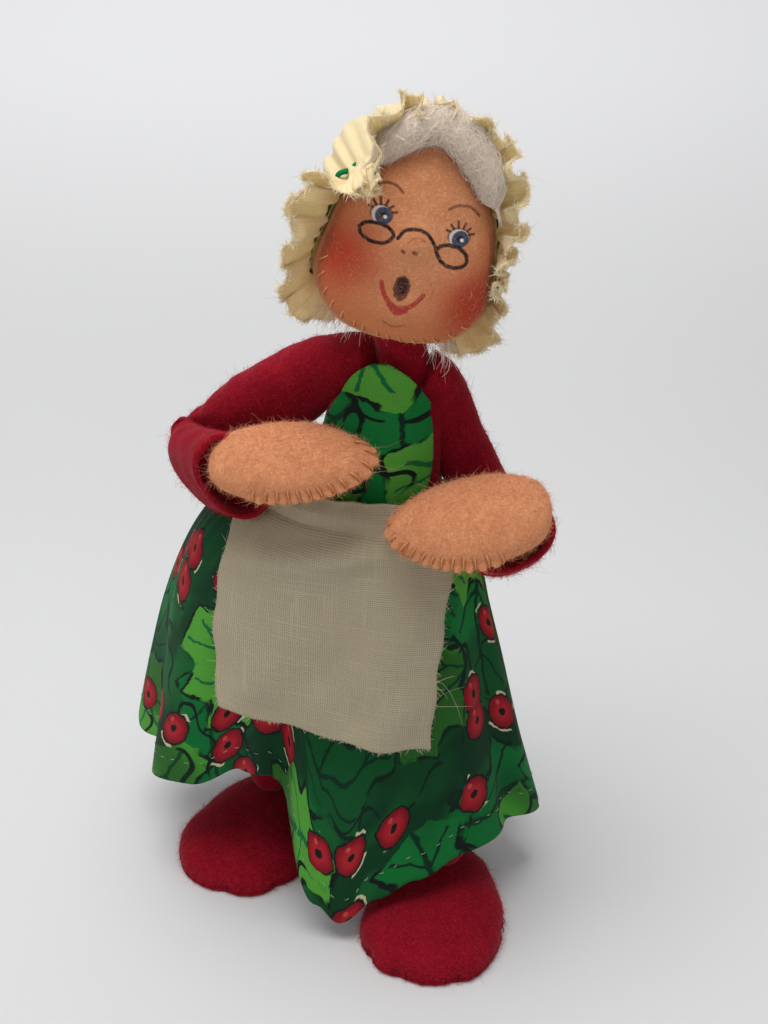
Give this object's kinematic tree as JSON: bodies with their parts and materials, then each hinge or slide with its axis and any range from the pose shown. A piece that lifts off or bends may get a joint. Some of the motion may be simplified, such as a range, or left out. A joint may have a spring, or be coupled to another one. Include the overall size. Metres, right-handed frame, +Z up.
{
  "type": "posable felt doll",
  "caption": "Standing stuffed felt granny doll in a gathered print skirt, apron and mob cap, posed by friction-held joints at neck, arms and legs.",
  "frame": {"origin": "middle of the outline on the floor under the soles", "axes": "+Z up, the doll faces -Y, +X is towards its own left hand"},
  "size_m": [0.0958, 0.0768, 0.1793],
  "materials": {
    "red_felt": "crimson wool felt, matt, slightly fuzzy",
    "peach_felt": "peach wool felt, matt, slightly fuzzy",
    "green_print": "plain-woven cotton with a leaf and berry print",
    "muslin": "unbleached muslin, open plain weave, raw edges",
    "white_roving": "white combed wool",
    "stuffing": "white fibre filling",
    "green_cord": "green cotton cord",
    "card": "brown card",
    "steel_wire": "soft bendable wire"
  },
  "bodies": {
    "head": {"face_felt": "peach_felt", "head_back_felt": "peach_felt", "head_stuffing": "stuffing", "head_wire": "steel_wire", "hair_front": "white_roving", "hair_nape": "white_roving", "mob_cap": "muslin", "cap_cord": "green_cord"},
    "torso": {"body_felt": "red_felt", "body_stuffing": "stuffing", "spine_wire": "steel_wire", "shoulder_wire": "steel_wire", "hip_wire": "steel_wire", "skirt": "green_print", "apron": "muslin", "bib": "green_print"},
    "upper_arm_right": {"upper_sleeve_right": "red_felt", "upper_arm_wire_right": "steel_wire"},
    "hand_right": {"hand_palm_felt_right": "peach_felt", "hand_back_felt_right": "peach_felt", "hand_stuffing_right": "stuffing", "hand_wire_right": "steel_wire"},
    "forearm_right": {"lower_sleeve_right": "red_felt", "forearm_wire_right": "steel_wire"},
    "foot_right": {"foot_sole_right": "red_felt", "foot_card_right": "card", "foot_felt_right": "red_felt", "foot_stuffing_right": "stuffing", "foot_wire_right": "steel_wire"},
    "thigh_right": {"thigh_right": "red_felt", "thigh_wire_right": "steel_wire"},
    "shin_right": {"shin_right": "red_felt", "shin_wire_right": "steel_wire"},
    "upper_arm_left": {"upper_sleeve_left": "red_felt", "upper_arm_wire_left": "steel_wire"},
    "hand_left": {"hand_palm_felt_left": "peach_felt", "hand_back_felt_left": "peach_felt", "hand_stuffing_left": "stuffing", "hand_wire_left": "steel_wire"},
    "forearm_left": {"lower_sleeve_left": "red_felt", "forearm_wire_left": "steel_wire"},
    "foot_left": {"foot_sole_left": "red_felt", "foot_card_left": "card", "foot_felt_left": "red_felt", "foot_stuffing_left": "stuffing", "foot_wire_left": "steel_wire"},
    "thigh_left": {"thigh_left": "red_felt", "thigh_wire_left": "steel_wire"},
    "shin_left": {"shin_left": "red_felt", "shin_wire_left": "steel_wire"},
    "neck": {"neck_felt": "red_felt", "neck_wire": "steel_wire"}
  },
  "joints": [
    {"name": "neck_nod", "type": "hinge", "parent": "torso", "child": "neck", "pos_m": [0.01352, 0.00256, 0.1215], "axis": [1, 0, 0], "range_deg": [-20, 20]},
    {"name": "head_turn", "type": "hinge", "parent": "neck", "child": "head", "pos_m": [0.01206, -0.00088, 0.13265], "axis": [-0.1237, -0.2919, 0.9484], "range_deg": [-45, 45]},
    {"name": "shoulder_right", "type": "hinge", "parent": "torso", "child": "upper_arm_right", "pos_m": [-0.00268, 0.00406, 0.1172], "axis": [-1, 0, 0], "range_deg": [0, 28]},
    {"name": "elbow_right", "type": "hinge", "parent": "upper_arm_right", "child": "forearm_right", "pos_m": [-0.03295, 0.0077, 0.09714], "axis": [-0.5561, -0.2412, 0.7954], "range_deg": [-75, 0]},
    {"name": "wrist_right", "type": "hinge", "parent": "forearm_right", "child": "hand_right", "pos_m": [-0.0139, -0.01596, 0.10329], "axis": [-0.1408, -0.5959, 0.7906], "range_deg": [-25, 15]},
    {"name": "hip_right", "type": "hinge", "parent": "torso", "child": "thigh_right", "pos_m": [-0.00603, 0.00456, 0.071], "axis": [1, 0, 0], "range_deg": [-15, 10]},
    {"name": "knee_right", "type": "hinge", "parent": "thigh_right", "child": "shin_right", "pos_m": [-0.01263, 0.00551, 0.0425], "axis": [1, 0, 0], "range_deg": [0, 15]},
    {"name": "ankle_right", "type": "hinge", "parent": "shin_right", "child": "foot_right", "pos_m": [-0.01923, 0.00647, 0.014], "axis": [1, 0, 0], "range_deg": [-15, 12]},
    {"name": "shoulder_left", "type": "hinge", "parent": "torso", "child": "upper_arm_left", "pos_m": [0.02282, 0.00406, 0.1172], "axis": [-1, 0, 0], "range_deg": [-5, 25]},
    {"name": "elbow_left", "type": "hinge", "parent": "upper_arm_left", "child": "forearm_left", "pos_m": [0.03709, 0.01073, 0.08428], "axis": [-0.8151, -0.3864, -0.4317], "range_deg": [-75, 0]},
    {"name": "wrist_left", "type": "hinge", "parent": "forearm_left", "child": "hand_left", "pos_m": [0.04075, -0.01531, 0.10068], "axis": [-0.0507, -0.6104, 0.7904], "range_deg": [-15, 25]},
    {"name": "hip_left", "type": "hinge", "parent": "torso", "child": "thigh_left", "pos_m": [0.01547, 0.00456, 0.071], "axis": [1, 0, 0], "range_deg": [0, 14]},
    {"name": "knee_left", "type": "hinge", "parent": "thigh_left", "child": "shin_left", "pos_m": [0.02068, -0.00246, 0.0425], "axis": [1, 0, 0], "range_deg": [0, 18]},
    {"name": "ankle_left", "type": "hinge", "parent": "shin_left", "child": "foot_left", "pos_m": [0.02589, -0.00947, 0.014], "axis": [1, 0, 0], "range_deg": [0, 12]}
  ]
}
